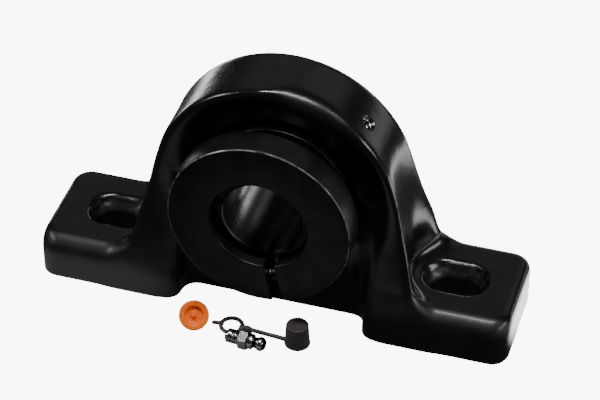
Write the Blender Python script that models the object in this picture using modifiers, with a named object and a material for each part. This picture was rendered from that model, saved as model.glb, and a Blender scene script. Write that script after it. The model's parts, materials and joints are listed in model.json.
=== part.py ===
"""Pillow block: cast housing, ball bearing insert with a split clamp collar, and its grease kit.

Frame: metres, +Z up. The origin is the centre of the foot's underside, X runs along the foot, and the
shaft axis is the line along Y at CENTRE_HEIGHT. The clamp collar is on the -Y side, the front.
"""
import math

import bmesh
import bpy
from mathutils import Matrix, Vector

MM = 0.001
GAP = 0.3 * MM

# ---- housing: driving dimensions ----
FOOT_LENGTH = 236.5 * MM
FOOT_WIDTH = 60.3 * MM
FOOT_HEIGHT = 23.8 * MM
CENTRE_HEIGHT = 69.5 * MM
ARCH_RADIUS = 58.2 * MM
ARCH_HALF_WIDTH = 18.2 * MM
FLANK_ANGLE = math.radians(17.5)
FLANK_FILLET = 12.0 * MM
FOOT_CORNER = 10.0 * MM
INNER_CORNER = 9.0 * MM
WEB_HALF_LENGTH = 46.0 * MM
WEB_HALF_WIDTH = 14.0 * MM
FLARE_TOP = 76.0 * MM
FLARE_BOTTOM = 12.0 * MM
BOLT_SPACING = 171.5 * MM
SLOT_HALF_WIDTH = 8.0 * MM
SLOT_HALF_LENGTH = 10.5 * MM
MOUTH_FLARE = 4.5 * MM
MOUTH_TAPER = 0.86
RELIEF_RADIUS = 24.0 * MM
RELIEF_HEIGHT = 90.0 * MM
PORT_ANGLE = math.radians(44.6)
PORT_Y = -3.0 * MM
PORT_RADIUS = 3.2 * MM
PORT_DEPTH = 11.0 * MM
PASSAGE_RADIUS = 1.6 * MM

# ---- insert: driving dimensions ----
SEAT_RADIUS = 40.0 * MM
SEAT_CLEARANCE = 0.35 * MM
OUTER_HALF_WIDTH = 11.0 * MM
SHAFT_RADIUS = 19.05 * MM
PITCH_RADIUS = 30.0 * MM
BALL_RADIUS = 6.35 * MM
BALL_COUNT = 9
BALL_START = math.radians(90)
WINDOW_GAP = 0.35 * MM
GROOVE_RADIUS = 6.75 * MM
GROOVE_HALF_ANGLE = math.radians(50)
EXTENSION_RADIUS = 23.4 * MM
INNER_FRONT = 37.0 * MM
INNER_REAR = -18.0 * MM
SEAL_INSET = 9.2 * MM
SEAL_THICKNESS = 1.3 * MM
PIN_RADIUS = 1.5 * MM
PIN_TOP = 41.9 * MM
PIN_BOTTOM = 38.7 * MM
PIN_GROOVE = Vector((3.8, 26.0, 8.0)) * MM
PIN_GROOVE_CENTRE = Vector((0.0, 8.5, 38.6)) * MM
FINGER_SLOT = Vector((10.0, 22.0, 3.0)) * MM
FINGER_RADIUS = 21.0 * MM
CAGE_INNER = 28.0 * MM
CAGE_OUTER = 32.0 * MM
CAGE_HALF_WIDTH = 8.0 * MM

# ---- clamp collar: driving dimensions ----
COLLAR_RADIUS = 44.45 * MM
COLLAR_BORE = 23.75 * MM
COLLAR_FRONT = 42.8 * MM
COLLAR_BACK = 27.6 * MM
SLIT_WIDTH = 6.0 * MM
SLIT_ANGLE = math.radians(282.5)
SCREW_OFFSET = 34.0 * MM
SCREW_SHANK = 3.95 * MM
SCREW_HEAD = 5.95 * MM
HEAD_SEAT = 11.0 * MM
HEAD_LENGTH = 7.9 * MM
SHANK_LENGTH = 28.0 * MM
HEX_ACROSS_FLATS = 6.35 * MM

# ---- loose grease kit: driving dimensions ----
FITTING_START = Vector((-14.0, -49.6, 4.45)) * MM
FITTING_TURN = math.radians(-5.4)
FITTING_HEX = 8.73 * MM
CHECK_BALL = 1.05 * MM
CAP_CENTRE = Vector((18.9, -40.7, 0.0)) * MM
CAP_HEIGHT = 11.6 * MM
RING_CENTRE = Vector((-14.7, -38.6, 0.95)) * MM
RING_RADIUS = 5.1 * MM
STRAP_RADIUS = 0.7 * MM
PLUG_CENTRE = Vector((-32.4, -43.4, 6.5)) * MM
PLUG_TURN = math.radians(17)
PLUG_TILT = math.radians(48.9)

BEARING_CENTRE = Vector((0.0, 0.0, CENTRE_HEIGHT))


# ---------------------------------------------------------------- scene and helpers
def clear_scene():
    for item in list(bpy.data.objects):
        bpy.data.objects.remove(item)


def make_collection(name):
    collection = bpy.data.collections.new(name)
    bpy.context.scene.collection.children.link(collection)
    return collection


def make_material(name, colour, roughness, metallic):
    material = bpy.data.materials.new(name)
    material.use_nodes = True
    shader = material.node_tree.nodes["Principled BSDF"]
    shader.inputs["Base Color"].default_value = (*colour, 1.0)
    shader.inputs["Roughness"].default_value = roughness
    shader.inputs["Metallic"].default_value = metallic
    return material


def add_mesh(name, mesh, collection, material=None):
    item = bpy.data.objects.new(name, mesh)
    collection.objects.link(item)
    if material:
        mesh.materials.append(material)
        mesh.shade_smooth()
        mesh.set_sharp_from_angle(angle=math.radians(32))
    else:
        item.hide_render = True
        item.display_type = "WIRE"
    return item


def arc(centre, radius, start, end, steps):
    """Points of an arc in a plane, both ends included."""
    return [(centre[0] + radius * math.cos(start + (end - start) * i / steps),
             centre[1] + radius * math.sin(start + (end - start) * i / steps)) for i in range(steps + 1)]


def turned(name, profile, steps, collection, material=None):
    """A solid turned about local Z from (radius, height) points that run down its outer side."""
    mesh = bpy.data.meshes.new(name)
    form = bmesh.new()
    points = [form.verts.new((radius, 0.0, height)) for radius, height in profile]
    closed = all(radius > 1e-6 for radius, _ in profile)
    for first, second in zip(points, points[1:] + points[:1] if closed else points[1:]):
        form.edges.new((first, second))
    form.to_mesh(mesh)
    form.free()
    item = add_mesh(name, mesh, collection, material)
    screw = item.modifiers.new("Turn", "SCREW")
    screw.steps = steps
    screw.render_steps = steps
    screw.use_merge_vertices = True
    screw.merge_threshold = 1e-6
    screw.use_smooth_shade = material is not None
    return item


def extruded(name, outline, depth, collection, material=None):
    """A solid of a closed flat outline in local XY, centred on local Z = 0."""
    curve = bpy.data.curves.new(name, "CURVE")
    curve.dimensions = "2D"
    curve.fill_mode = "BOTH"
    curve.extrude = depth / 2
    spline = curve.splines.new("POLY")
    spline.points.add(len(outline) - 1)
    for point, (x, y) in zip(spline.points, outline):
        point.co = (x, y, 0.0, 1.0)
    spline.use_cyclic_u = True
    source = bpy.data.objects.new(name + "_outline", curve)
    bpy.context.scene.collection.objects.link(source)
    evaluated = source.evaluated_get(bpy.context.evaluated_depsgraph_get())
    mesh = bpy.data.meshes.new_from_object(evaluated)
    bpy.data.objects.remove(source)
    form = bmesh.new()
    form.from_mesh(mesh)
    bmesh.ops.remove_doubles(form, verts=form.verts, dist=1e-6)
    bmesh.ops.recalc_face_normals(form, faces=form.faces)
    form.to_mesh(mesh)
    form.free()
    return add_mesh(name, mesh, collection, material)


def cylinder(name, radius, depth, segments, matrix, collection, material=None):
    """A cylinder along local Z, centred, placed by a matrix."""
    mesh = bpy.data.meshes.new(name)
    form = bmesh.new()
    bmesh.ops.create_cone(form, cap_ends=True, segments=segments, radius1=radius, radius2=radius, depth=depth)
    form.to_mesh(mesh)
    form.free()
    item = add_mesh(name, mesh, collection, material)
    item.matrix_world = matrix
    return item


def box(name, size, matrix, collection):
    mesh = bpy.data.meshes.new(name)
    form = bmesh.new()
    bmesh.ops.create_cube(form, size=1.0)
    bmesh.ops.scale(form, vec=size, verts=form.verts)
    form.to_mesh(mesh)
    form.free()
    item = add_mesh(name, mesh, collection)
    item.matrix_world = matrix
    return item


def sphere(name, radius, segments, rings, matrix, collection, material=None):
    mesh = bpy.data.meshes.new(name)
    form = bmesh.new()
    bmesh.ops.create_uvsphere(form, u_segments=segments, v_segments=rings, radius=radius)
    form.to_mesh(mesh)
    form.free()
    item = add_mesh(name, mesh, collection, material)
    item.matrix_world = matrix
    return item


def combine(target, tool, operation="DIFFERENCE"):
    modifier = target.modifiers.new(tool.name, "BOOLEAN")
    modifier.operation = operation
    modifier.solver = "EXACT"
    modifier.object = tool


def axis_matrix(origin, direction):
    """A frame at origin whose Z runs along direction."""
    return Matrix.Translation(origin) @ direction.to_track_quat("Z", "Y").to_matrix().to_4x4()


def on_shaft_axis(item, parent):
    """Local Z becomes -Y, so that a turned profile's height runs from the bearing's centre to the front."""
    item.rotation_euler = (math.radians(90), 0.0, 0.0)
    item.parent = parent


def radial(angle):
    return Vector((math.cos(angle), 0.0, math.sin(angle)))


# ---------------------------------------------------------------- housing
def foot_outline():
    """Plan of the foot, with round corners."""
    x, y = FOOT_LENGTH / 2 - FOOT_CORNER, FOOT_WIDTH / 2 - FOOT_CORNER
    points = []
    for quarter, (sx, sy) in enumerate(((1, 1), (-1, 1), (-1, -1), (1, -1))):
        start = quarter * math.pi / 2
        points += arc((sx * x, sy * y), FOOT_CORNER, start, start + math.pi / 2, 4)
    return points


def recess_outline(side):
    """Plan of the waste between the legs: square at the web, with round mouths at the feet."""
    half_width, reach = FOOT_WIDTH / 2, FOOT_WIDTH
    right = [(WEB_HALF_LENGTH, WEB_HALF_WIDTH)]
    right += arc((WEB_HALF_LENGTH + INNER_CORNER, half_width - INNER_CORNER), INNER_CORNER,
                 math.pi, math.pi / 2, 5)
    right[-1] = (right[-1][0], half_width + 0.1 * MM)
    right.append((right[-1][0], reach))
    points = right + [(-x, y) for x, y in reversed(right)]
    return [(x, side * y) for x, y in points]


def arch_outline():
    """Front view of the arch: fillet from the foot, straight flank, round crown."""
    sine, cosine = math.sin(FLANK_ANGLE), math.cos(FLANK_ANGLE)
    fillet_z = FOOT_HEIGHT + FLANK_FILLET
    fillet_x = (FLANK_FILLET + ARCH_RADIUS + (CENTRE_HEIGHT - fillet_z) * sine) / cosine
    right = [(fillet_x, FOOT_HEIGHT - 12 * MM)]
    right += arc((fillet_x, fillet_z), FLANK_FILLET, -math.pi / 2, FLANK_ANGLE - math.pi, 6)
    right += arc((0.0, CENTRE_HEIGHT), ARCH_RADIUS, FLANK_ANGLE, math.pi / 2, 16)
    return right + [(-x, z) for x, z in reversed(right[:-1])]


def flare_outline():
    """Side view of the waste in front of the arch: the legs widen smoothly down to the foot."""
    steps = 8
    points = []
    for i in range(steps + 1):
        share = i / steps
        ease = share * share * (3 - 2 * share)
        width = FOOT_WIDTH / 2 + (ARCH_HALF_WIDTH - FOOT_WIDTH / 2) * ease
        points.append((width, FLARE_BOTTOM + share * (FLARE_TOP - FLARE_BOTTOM)))
    return points + [(ARCH_HALF_WIDTH, 150 * MM), (45 * MM, 150 * MM), (45 * MM, FLARE_BOTTOM)]


def dish_profile(front):
    """Opening from the seat's edge out to the face of the arch, as a solid to take away."""
    height = OUTER_HALF_WIDTH
    points = [(0.0, 45 * MM), (60 * MM, 45 * MM), (58 * MM, 24 * MM), (50.5 * MM, 17.2 * MM),
              (42.5 * MM, 13.0 * MM), (38.8 * MM, height - 0.4 * MM), (0.0, height - 0.4 * MM)]
    return points if front else [(radius, -height_) for radius, height_ in reversed(points)]


def make_housing(parts, cutters, paint, bearing):
    housing = extruded("housing", foot_outline(), FOOT_HEIGHT, parts, paint)
    housing.location.z = FOOT_HEIGHT / 2
    upright = Matrix.Rotation(math.radians(90), 4, "X")

    arch = extruded("arch_form", arch_outline(), FOOT_WIDTH, cutters)
    arch.matrix_world = upright
    for side in (-1, 1):
        waste = extruded(f"flare_{side}", [(side * y, z) for y, z in flare_outline()], 240 * MM, cutters)
        waste.matrix_world = Matrix.Rotation(math.radians(90), 4, "Z") @ upright
        combine(arch, waste)
        relief = cylinder(f"bolt_relief_{side}", RELIEF_RADIUS, RELIEF_HEIGHT, 56,
                          Matrix.Translation((side * BOLT_SPACING / 2, 0.0, RELIEF_HEIGHT / 2)), cutters)
        combine(arch, relief)
    combine(housing, arch, "UNION")

    for side in (-1, 1):
        recess = extruded(f"web_recess_{side}", recess_outline(side), CENTRE_HEIGHT + 10 * MM, cutters)
        recess.location.z = CENTRE_HEIGHT / 2 - 5 * MM
        combine(housing, recess)
        dish = turned(f"dish_{side}", dish_profile(side < 0), 56, cutters)
        on_shaft_axis(dish, bearing)
        combine(housing, dish)

    seat = sphere("seat_form", SEAT_RADIUS + SEAT_CLEARANCE, 56, 28,
                  Matrix.Translation(BEARING_CENTRE) @ upright, cutters)
    combine(housing, seat)
    notch = box("loading_notch", (2 * SEAT_RADIUS + 0.4 * MM, 20 * MM, 2 * OUTER_HALF_WIDTH + 1 * MM),
                Matrix.Translation(BEARING_CENTRE + Vector((0, 10 * MM, 0))), cutters)
    combine(housing, notch)
    groove = box("pin_groove", PIN_GROOVE, Matrix.Translation(BEARING_CENTRE + PIN_GROOVE_CENTRE), cutters)
    combine(housing, groove)
    cut_bolt_slots(housing, cutters)
    cut_grease_port(housing, cutters)
    return housing


def slot_outline(grow):
    straight = SLOT_HALF_LENGTH - SLOT_HALF_WIDTH
    radius = SLOT_HALF_WIDTH + grow
    return (arc((straight, 0.0), radius, -math.pi / 2, math.pi / 2, 10)
            + arc((-straight, 0.0), radius, math.pi / 2, 1.5 * math.pi, 10))


def cut_bolt_slots(housing, cutters):
    """Slots for the foot bolts, with a cone in place of each rounded mouth."""
    for side in (-1, 1):
        centre = Vector((side * BOLT_SPACING / 2, 0.0, 0.0))
        slot = extruded(f"bolt_slot_{side}", slot_outline(0.0), 80 * MM, cutters)
        slot.location = centre
        combine(housing, slot)
        mouth = extruded(f"bolt_mouth_{side}", slot_outline(MOUTH_FLARE), 2 * MOUTH_FLARE, cutters)
        for vertex in mouth.data.vertices:
            if vertex.co.z < 0:
                vertex.co.x *= SLOT_HALF_LENGTH / (SLOT_HALF_LENGTH + MOUTH_FLARE) * MOUTH_TAPER
                vertex.co.y *= SLOT_HALF_WIDTH / (SLOT_HALF_WIDTH + MOUTH_FLARE) * MOUTH_TAPER
        mouth.location = centre + Vector((0.0, 0.0, FOOT_HEIGHT))
        combine(housing, mouth)


def cut_grease_port(housing, cutters):
    direction = radial(PORT_ANGLE)
    centre = BEARING_CENTRE + Vector((0.0, PORT_Y, 0.0))
    mouth = centre + direction * (ARCH_RADIUS + 10 * MM - PORT_DEPTH / 2)
    port = cylinder("port_hole", PORT_RADIUS, PORT_DEPTH + 20 * MM, 20, axis_matrix(mouth, direction), cutters)
    combine(housing, port)
    middle = centre + direction * (SEAT_RADIUS + 6 * MM)
    passage = cylinder("grease_passage", PASSAGE_RADIUS, 26 * MM, 12, axis_matrix(middle, direction), cutters)
    combine(housing, passage)


# ---------------------------------------------------------------- insert
def raceway(outer):
    """Groove points from rear to front for the outer ring, and from front to rear for the inner."""
    sign = 1 if outer else -1
    start, end = -GROOVE_HALF_ANGLE, GROOVE_HALF_ANGLE
    points = []
    for radius, height in arc((0.0, 0.0), GROOVE_RADIUS, start, end, 5):
        points.append((PITCH_RADIUS + sign * radius, height))
    return points if outer else points[::-1]


def make_outer_ring(parts, cutters, steel, bearing):
    half_angle = math.asin(OUTER_HALF_WIDTH / SEAT_RADIUS)
    outside = []
    for radius, height in arc((0.0, 0.0), SEAT_RADIUS, half_angle, -half_angle, 6):
        outside.append((radius, height))
    seal_seat, land = 35.3 * MM, 34.3 * MM
    rear = [(seal_seat, -OUTER_HALF_WIDTH), (seal_seat, -SEAL_INSET + GAP), (land, -SEAL_INSET + GAP)]
    front = [(radius, -height) for radius, height in reversed(rear)]
    ring = turned("outer_ring", outside + rear + raceway(True) + front, 40, parts, steel)
    on_shaft_axis(ring, bearing)
    hole = cylinder("pin_hole", PIN_RADIUS + GAP, 3 * MM, 12,
                    Matrix.Translation(BEARING_CENTRE + Vector((0, 0, 39.9 * MM))), cutters)
    combine(ring, hole)
    feed_centre = BEARING_CENTRE + Vector((0.0, -7.3 * MM, 0.0)) + radial(PORT_ANGLE) * 37 * MM
    feed = cylinder("feed_hole", 0.9 * MM, 12 * MM, 8, axis_matrix(feed_centre, radial(PORT_ANGLE)), cutters)
    combine(ring, feed)


def make_locating_pin(parts, steel, bearing):
    pin = cylinder("locating_pin", PIN_RADIUS, PIN_TOP - PIN_BOTTOM, 12, Matrix.Identity(4), parts, steel)
    pin.location = (0.0, 0.0, (PIN_TOP + PIN_BOTTOM) / 2)
    pin.parent = bearing


def make_seals(parts, rubber, steel, bearing):
    """A sealing washer at each side of the balls, and a flinger on the inner ring outside it."""
    washer_top, washer_bore = 35.0 * MM, 26.2 * MM
    for name, side in (("front", 1), ("rear", -1)):
        near, far = SEAL_INSET, SEAL_INSET + SEAL_THICKNESS
        high, low = (far, near) if side > 0 else (-near, -far)
        seal = turned(f"{name}_seal", [(washer_top, high), (washer_top, low), (washer_bore, low),
                                       (washer_bore, high)], 40, parts, rubber)
        on_shaft_axis(seal, bearing)
        near, far = far + 0.5 * MM, far + 1.9 * MM
        rim = 33.5 * MM
        hub = 25.8 * MM
        profile = [(rim, near + 0.9 * MM), (rim, near), (hub, near), (hub, far + 1.0 * MM),
                   (hub + 1.2 * MM, far + 1.0 * MM), (hub + 1.6 * MM, near + 0.9 * MM)]
        if side < 0:
            profile = [(radius, -height) for radius, height in reversed(profile)]
        flinger = turned(f"{name}_flinger", profile, 40, parts, steel)
        on_shaft_axis(flinger, bearing)


def make_inner_ring(parts, cutters, steel, bearing):
    """Wide inner ring: raceway land, slotted front extension, plain bore with a lead chamfer."""
    land, chamfer = 25.5 * MM, 1.0 * MM
    outside = [(EXTENSION_RADIUS - 0.6 * MM, INNER_FRONT), (EXTENSION_RADIUS, INNER_FRONT - 0.6 * MM),
               (EXTENSION_RADIUS, 16.5 * MM), (land, 14.8 * MM)]
    rear = [(land, INNER_REAR + 0.6 * MM), (land - 0.6 * MM, INNER_REAR)]
    bore = [(SHAFT_RADIUS + chamfer, INNER_REAR), (SHAFT_RADIUS, INNER_REAR + chamfer),
            (SHAFT_RADIUS, INNER_FRONT - chamfer), (SHAFT_RADIUS + chamfer, INNER_FRONT)]
    ring = turned("inner_ring", outside + raceway(False) + rear + bore, 40, parts, steel)
    on_shaft_axis(ring, bearing)
    for i in range(3):
        angle = SLIT_ANGLE + i * math.radians(120)
        centre = BEARING_CENTRE + radial(angle) * FINGER_RADIUS + Vector((0.0, -INNER_FRONT, 0.0))
        matrix = Matrix.Translation(centre) @ Matrix.Rotation(-angle, 4, "Y")
        slot = box(f"finger_slot_{i}", FINGER_SLOT, matrix, cutters)
        combine(ring, slot)


def make_balls(parts, steel, ball_set):
    for i in range(BALL_COUNT):
        position = radial(BALL_START + 2 * math.pi * i / BALL_COUNT) * PITCH_RADIUS
        ball = sphere(f"ball_{i + 1}", BALL_RADIUS, 12, 8, Matrix.Translation(position), parts, steel)
        ball.parent = ball_set


def make_cage(parts, cutters, plastic, ball_set):
    """One ring with a round window at each ball."""
    section = [(CAGE_OUTER, CAGE_HALF_WIDTH), (CAGE_OUTER, -CAGE_HALF_WIDTH), (CAGE_INNER, -CAGE_HALF_WIDTH),
               (CAGE_INNER, CAGE_HALF_WIDTH)]
    cage = turned("cage", section, 54, parts, plastic)
    on_shaft_axis(cage, ball_set)
    for i in range(BALL_COUNT):
        direction = radial(BALL_START + 2 * math.pi * i / BALL_COUNT)
        matrix = axis_matrix(BEARING_CENTRE + direction * PITCH_RADIUS, direction)
        window = cylinder(f"cage_window_{i + 1}", BALL_RADIUS + WINDOW_GAP, 12 * MM, 16, matrix, cutters)
        combine(cage, window)


# ---------------------------------------------------------------- clamp collar and screw
def screw_frame(distance):
    """The screw's frame at a distance from the slit along its axis; Z points to the head."""
    along = Vector((-math.sin(SLIT_ANGLE), 0.0, math.cos(SLIT_ANGLE)))
    middle = Vector((0.0, -(COLLAR_FRONT + COLLAR_BACK) / 2, 0.0))
    return axis_matrix(BEARING_CENTRE + middle + radial(SLIT_ANGLE) * SCREW_OFFSET + along * distance, along)


def make_clamp_collar(parts, cutters, black_oxide, collar_axis):
    edge, bore_edge = 0.9 * MM, 0.7 * MM
    profile = [(COLLAR_RADIUS - edge, COLLAR_FRONT), (COLLAR_RADIUS, COLLAR_FRONT - edge),
               (COLLAR_RADIUS, COLLAR_BACK + edge), (COLLAR_RADIUS - edge, COLLAR_BACK),
               (COLLAR_BORE + bore_edge, COLLAR_BACK), (COLLAR_BORE, COLLAR_BACK + bore_edge),
               (COLLAR_BORE, COLLAR_FRONT - bore_edge), (COLLAR_BORE + bore_edge, COLLAR_FRONT)]
    collar = turned("clamp_collar", profile, 60, parts, black_oxide)
    on_shaft_axis(collar, collar_axis)
    reach = (COLLAR_BORE + COLLAR_RADIUS) / 2
    centre = BEARING_CENTRE + radial(SLIT_ANGLE) * reach + Vector((0.0, -(COLLAR_FRONT + COLLAR_BACK) / 2, 0.0))
    slit = box("collar_slit", (30 * MM, 30 * MM, SLIT_WIDTH),
               Matrix.Translation(centre) @ Matrix.Rotation(-SLIT_ANGLE, 4, "Y"), cutters)
    combine(collar, slit)
    hole_length = SHANK_LENGTH + 8 * MM
    hole = cylinder("screw_hole", SCREW_SHANK + GAP, hole_length, 20,
                    screw_frame(HEAD_SEAT + 5 * MM - hole_length / 2), cutters)
    combine(collar, hole)
    pocket_length = 30 * MM
    pocket = cylinder("head_pocket", SCREW_HEAD + GAP, pocket_length, 24,
                      screw_frame(HEAD_SEAT + pocket_length / 2), cutters)
    combine(collar, pocket)


def make_clamp_screw(parts, cutters, steel, screw_axis):
    """Socket head cap screw; its head stands in the pocket, its shank crosses the slit."""
    seat = GAP
    profile = [(0.0, seat + HEAD_LENGTH), (SCREW_HEAD - 0.5 * MM, seat + HEAD_LENGTH),
               (SCREW_HEAD, seat + HEAD_LENGTH - 0.5 * MM), (SCREW_HEAD, seat), (SCREW_SHANK, seat),
               (SCREW_SHANK, seat - SHANK_LENGTH + 1 * MM), (SCREW_SHANK - 1 * MM, seat - SHANK_LENGTH),
               (0.0, seat - SHANK_LENGTH)]
    screw = turned("clamp_screw", profile, 20, parts, steel)
    screw.parent = screw_axis
    socket = cylinder("hex_socket", HEX_ACROSS_FLATS / math.sqrt(3), 9 * MM, 6,
                      screw_frame(HEAD_SEAT + HEAD_LENGTH + seat), cutters)
    combine(screw, socket)


# ---------------------------------------------------------------- loose grease kit
def make_grease_fitting(parts, cutters, zinc, steel):
    """Fitting lying on one flat of its hexagon, with its check ball and spring inside."""
    direction = Vector((math.cos(FITTING_TURN), math.sin(FITTING_TURN), 0.0))
    frame = axis_matrix(FITTING_START, direction)
    profile = [(0.0, 20.3), (1.6, 20.3), (2.6, 19.7), (3.5, 18.2), (3.5, 16.6), (2.45, 15.4), (2.45, 13.6),
               (3.8, 13.0), (3.8, 11.7), (3.2, 7.0), (3.2, 0.6), (2.7, 0.0), (0.0, 0.0)]
    fitting = turned("fitting_body", [(r * MM, h * MM) for r, h in profile], 20, parts, zinc)
    fitting.matrix_world = frame
    hexagon = cylinder("fitting_hex", FITTING_HEX / math.sqrt(3), 5.0 * MM, 6,
                       frame @ Matrix.Translation((0, 0, 9.3 * MM)) @ Matrix.Rotation(math.radians(30), 4, "Z"),
                       cutters)
    combine(fitting, hexagon, "UNION")
    bore = cylinder("fitting_bore", 1.5 * MM, 18.9 * MM, 12, frame @ Matrix.Translation((0, 0, 9.05 * MM)),
                    cutters)
    orifice = cylinder("fitting_orifice", 0.7 * MM, 8 * MM, 10, frame @ Matrix.Translation((0, 0, 19 * MM)),
                       cutters)
    combine(fitting, bore)
    combine(fitting, orifice)
    ball_at = frame @ Matrix.Translation((0, 0, 17.2 * MM))
    sphere("check_ball", CHECK_BALL, 10, 8, ball_at, parts, steel)
    make_check_spring(parts, steel, frame)


def make_check_spring(parts, steel, frame):
    """Coil spring between the check ball and the inner end of the bore."""
    turns, sides, radius, wire = 5, 8, 0.95 * MM, 0.16 * MM
    start, end = 9.0 * MM, 15.9 * MM
    curve = bpy.data.curves.new("check_spring", "CURVE")
    curve.dimensions = "3D"
    curve.bevel_depth = wire
    curve.bevel_resolution = 0
    curve.use_fill_caps = True
    spline = curve.splines.new("POLY")
    count = turns * sides
    spline.points.add(count)
    for i, point in enumerate(spline.points):
        angle = 2 * math.pi * i / sides
        point.co = (radius * math.cos(angle), radius * math.sin(angle), start + (end - start) * i / count, 1.0)
    spring = bpy.data.objects.new("check_spring", curve)
    parts.objects.link(spring)
    curve.materials.append(steel)
    spring.matrix_world = frame
    weld = spring.modifiers.new("Weld", "WELD")
    weld.merge_threshold = 1e-6


def make_grease_cap(parts, cutters, rubber):
    """Rubber cap, strap, lug and tether ring: one moulding lying flat."""
    profile = [(0.0, CAP_HEIGHT), (4.6 * MM, CAP_HEIGHT), (5.4 * MM, CAP_HEIGHT - 0.9 * MM), (6.1 * MM, 0.0),
               (0.0, 0.0)]
    cap = turned("grease_cap", profile, 24, parts, rubber)
    cap.location = CAP_CENTRE
    ring = turned("tether_ring", [(RING_RADIUS + STRAP_RADIUS * math.cos(a), STRAP_RADIUS * math.sin(a))
                                  for a in [math.radians(120 - 60 * i) for i in range(6)]], 28, cutters)
    ring.location = RING_CENTRE
    combine(cap, ring, "UNION")
    strap_start = RING_CENTRE + Vector((RING_RADIUS + 0.2 * MM, 0.0, 0.0))
    strap_end = CAP_CENTRE + Vector((-4.5 * MM, 0.0, RING_CENTRE.z))
    for name, first, last, radius in (
            ("strap", strap_start, strap_end, STRAP_RADIUS * 0.93),
            ("lug", strap_start, strap_start + Vector((4.6 * MM, -0.5 * MM, 0.4 * MM)), 0.9 * MM),
            ("tab", RING_CENTRE - Vector((RING_RADIUS, 0, 0)), RING_CENTRE - Vector((9.2 * MM, 0.4 * MM, 0)),
             STRAP_RADIUS * 0.9)):
        run = last - first
        rod = cylinder(name, radius, run.length, 8, axis_matrix((first + last) / 2, run), cutters)
        combine(cap, rod, "UNION")
    hollow = cylinder("cap_hollow", 3.7 * MM, 18 * MM, 20, Matrix.Translation(CAP_CENTRE), cutters)
    combine(cap, hollow)


def make_port_plug(parts, plastic):
    """Flanged push-in plug lying on its rim and tip, its recessed face turned up to the front."""
    profile = [(0.0, -0.4), (1.1, -0.5), (1.3, -2.6), (4.1, -2.6), (4.6, 0.0), (7.0, 0.0), (7.4, -0.4),
               (7.4, -1.3), (7.0, -1.6), (4.9, -1.6), (4.4, -3.2), (3.1, -6.3), (2.6, -6.8), (0.0, -6.8)]
    plug = turned("port_plug", [(r * MM, h * MM) for r, h in profile], 32, parts, plastic)
    plug.matrix_world = (Matrix.Translation(PLUG_CENTRE) @ Matrix.Rotation(PLUG_TURN, 4, "Z")
                         @ Matrix.Rotation(PLUG_TILT, 4, "X"))


# ---------------------------------------------------------------- assembly
def axis_empty(name, location, parts, parent=None):
    empty = bpy.data.objects.new(name, None)
    empty.empty_display_size = 0.01
    parts.objects.link(empty)
    empty.location = location
    empty.parent = parent
    return empty


def build():
    clear_scene()
    parts = make_collection("pillow_block_bearing")
    cutters = make_collection("cutters")
    paint = make_material("gloss_black_paint", (0.012, 0.012, 0.013), 0.25, 0.0)
    bearing_steel = make_material("bearing_steel", (0.55, 0.55, 0.56), 0.25, 1.0)
    black_oxide = make_material("black_oxide", (0.02, 0.02, 0.022), 0.38, 0.6)
    zinc = make_material("zinc_plate", (0.72, 0.72, 0.70), 0.22, 1.0)
    seal_rubber = make_material("seal_rubber", (0.015, 0.015, 0.015), 0.6, 0.0)
    cap_rubber = make_material("cap_rubber", (0.045, 0.035, 0.035), 0.55, 0.0)
    nylon = make_material("cage_nylon", (0.65, 0.60, 0.48), 0.5, 0.0)
    orange = make_material("orange_plastic", (0.95, 0.25, 0.03), 0.35, 0.0)

    bearing = axis_empty("shaft_axis", BEARING_CENTRE, parts)
    ball_set = axis_empty("ball_set_axis", (0.0, 0.0, 0.0), parts, bearing)
    collar_axis = axis_empty("collar_axis", (0.0, 0.0, 0.0), parts, bearing)
    screw_axis = axis_empty("screw_axis", (0.0, 0.0, 0.0), parts)
    screw_axis.matrix_world = screw_frame(HEAD_SEAT)

    make_housing(parts, cutters, paint, bearing)
    make_outer_ring(parts, cutters, bearing_steel, bearing)
    make_locating_pin(parts, bearing_steel, bearing)
    make_seals(parts, seal_rubber, bearing_steel, bearing)
    make_inner_ring(parts, cutters, bearing_steel, bearing)
    make_balls(parts, bearing_steel, ball_set)
    make_cage(parts, cutters, nylon, ball_set)
    make_clamp_collar(parts, cutters, black_oxide, collar_axis)
    make_clamp_screw(parts, cutters, zinc, screw_axis)
    make_grease_fitting(parts, cutters, zinc, bearing_steel)
    make_grease_cap(parts, cutters, cap_rubber)
    make_port_plug(parts, orange)


build()
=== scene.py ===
import json
import math

import bmesh
import bpy
import numpy as np
from mathutils import Matrix, Vector

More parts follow.
